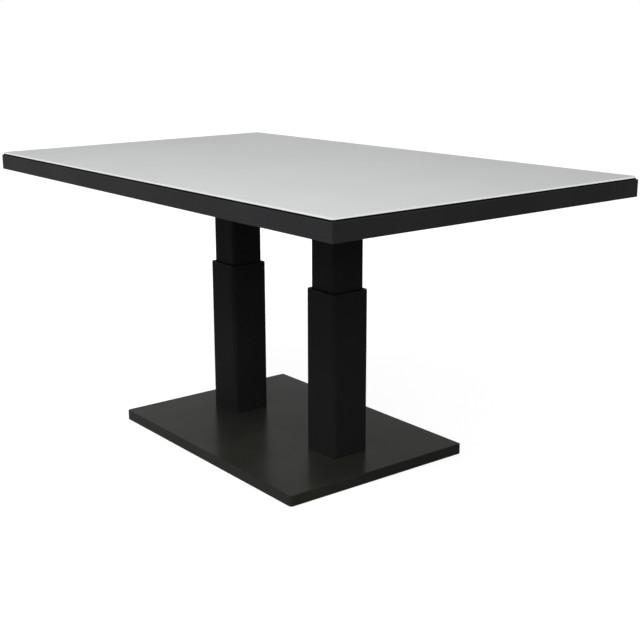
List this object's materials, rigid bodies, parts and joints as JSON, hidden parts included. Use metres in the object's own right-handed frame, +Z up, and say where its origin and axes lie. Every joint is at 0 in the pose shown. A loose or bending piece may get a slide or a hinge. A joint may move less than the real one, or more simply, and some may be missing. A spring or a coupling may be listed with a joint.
{
  "type": "height-adjustable dining table",
  "caption": "Rectangular dining table with a framed light grey glass top on telescopic square columns over a flat base; a lever under the top unlocks gas springs to set the height.",
  "frame": {"origin": "on the floor under the centre of the table", "axes": "+X along the long side away from the lever's end, +Y across the table, +Z up"},
  "size_m": [1.5, 0.9, 0.747],
  "materials": {
    "satin_glass": "toughened glass, satin face, light grey back coat",
    "gasket_rubber": "matte black",
    "apron_paint": "anthracite powder coat on extruded aluminium",
    "bare_aluminium": "mill",
    "base_paint": "satin anthracite powder coat",
    "column_paint": "satin black powder coat",
    "cylinder_paint": "gloss black",
    "ballast_steel": "primer",
    "zinc_steel": "zinc plated",
    "chrome_rod": "hard chrome",
    "black_nylon": "moulded",
    "grip_plastic": "fine texture"
  },
  "bodies": {
    "base": {"base_cover": "base_paint", "ballast_plate": "ballast_steel", "base_glides": "black_nylon", "glide_screws": "zinc_steel", "foot_bolts": "zinc_steel", "cylinder_nuts": "zinc_steel", "column_sleeve_left": "column_paint", "column_sleeve_right": "column_paint", "column_foot_left": "ballast_steel", "column_foot_right": "ballast_steel", "guide_bush_left": "black_nylon", "guide_bush_right": "black_nylon", "gas_cylinder_left": "cylinder_paint", "gas_cylinder_right": "cylinder_paint", "gas_gland_left": "zinc_steel", "gas_gland_right": "zinc_steel"},
    "table_top": {"gas_rod_left": "chrome_rod", "gas_rod_right": "chrome_rod", "gas_piston_left": "zinc_steel", "gas_piston_right": "zinc_steel", "column_tube_left": "column_paint", "column_tube_right": "column_paint", "tube_slider_left": "black_nylon", "tube_slider_right": "black_nylon", "column_head_left": "column_paint", "column_head_right": "column_paint", "rod_nuts": "zinc_steel", "head_bolts": "zinc_steel", "rail_nuts": "zinc_steel", "cross_rail_1": "apron_paint", "cross_rail_2": "apron_paint", "cross_rail_3": "apron_paint", "cross_rail_4": "apron_paint", "cross_rail_5": "apron_paint", "cross_rail_6": "apron_paint", "apron_front": "apron_paint", "apron_right": "apron_paint", "apron_back": "apron_paint", "apron_left": "apron_paint", "apron_corner_keys": "bare_aluminium", "glass_gasket": "gasket_rubber", "glass_pads": "gasket_rubber", "glass_top": "satin_glass", "bar_bushes": "black_nylon"},
    "release_lever": {"release_bar": "zinc_steel", "bar_collars": "zinc_steel", "lever_grip": "grip_plastic", "release_finger_left": "zinc_steel", "release_finger_right": "zinc_steel"},
    "release_pin_left": {"release_pin_left": "zinc_steel"},
    "release_pin_right": {"release_pin_right": "zinc_steel"}
  },
  "joints": [
    {"name": "table_lift", "type": "slide", "parent": "base", "child": "table_top", "axis": [0, 0, 1], "range_m": [-0.245, 0]},
    {"name": "lever_turn", "type": "hinge", "parent": "table_top", "child": "release_lever", "pos_m": [0, 0.02188, 0.7285], "axis": [1, 0, 0], "range_deg": [0, 12], "stiffness_Nm_per_rad": 15, "springref_deg": -5.73},
    {"name": "pin_press_left", "type": "slide", "parent": "table_top", "child": "release_pin_left", "axis": [0, 0, -1], "range_m": [0, 0.0047]},
    {"name": "pin_press_right", "type": "slide", "parent": "table_top", "child": "release_pin_right", "axis": [0, 0, -1], "range_m": [0, 0.0047]}
  ],
  "couplings": [
    {"joint": "pin_press_left", "follows": "lever_turn", "m_per_rad": 0.02196},
    {"joint": "pin_press_right", "follows": "lever_turn", "m_per_rad": 0.02196}
  ]
}
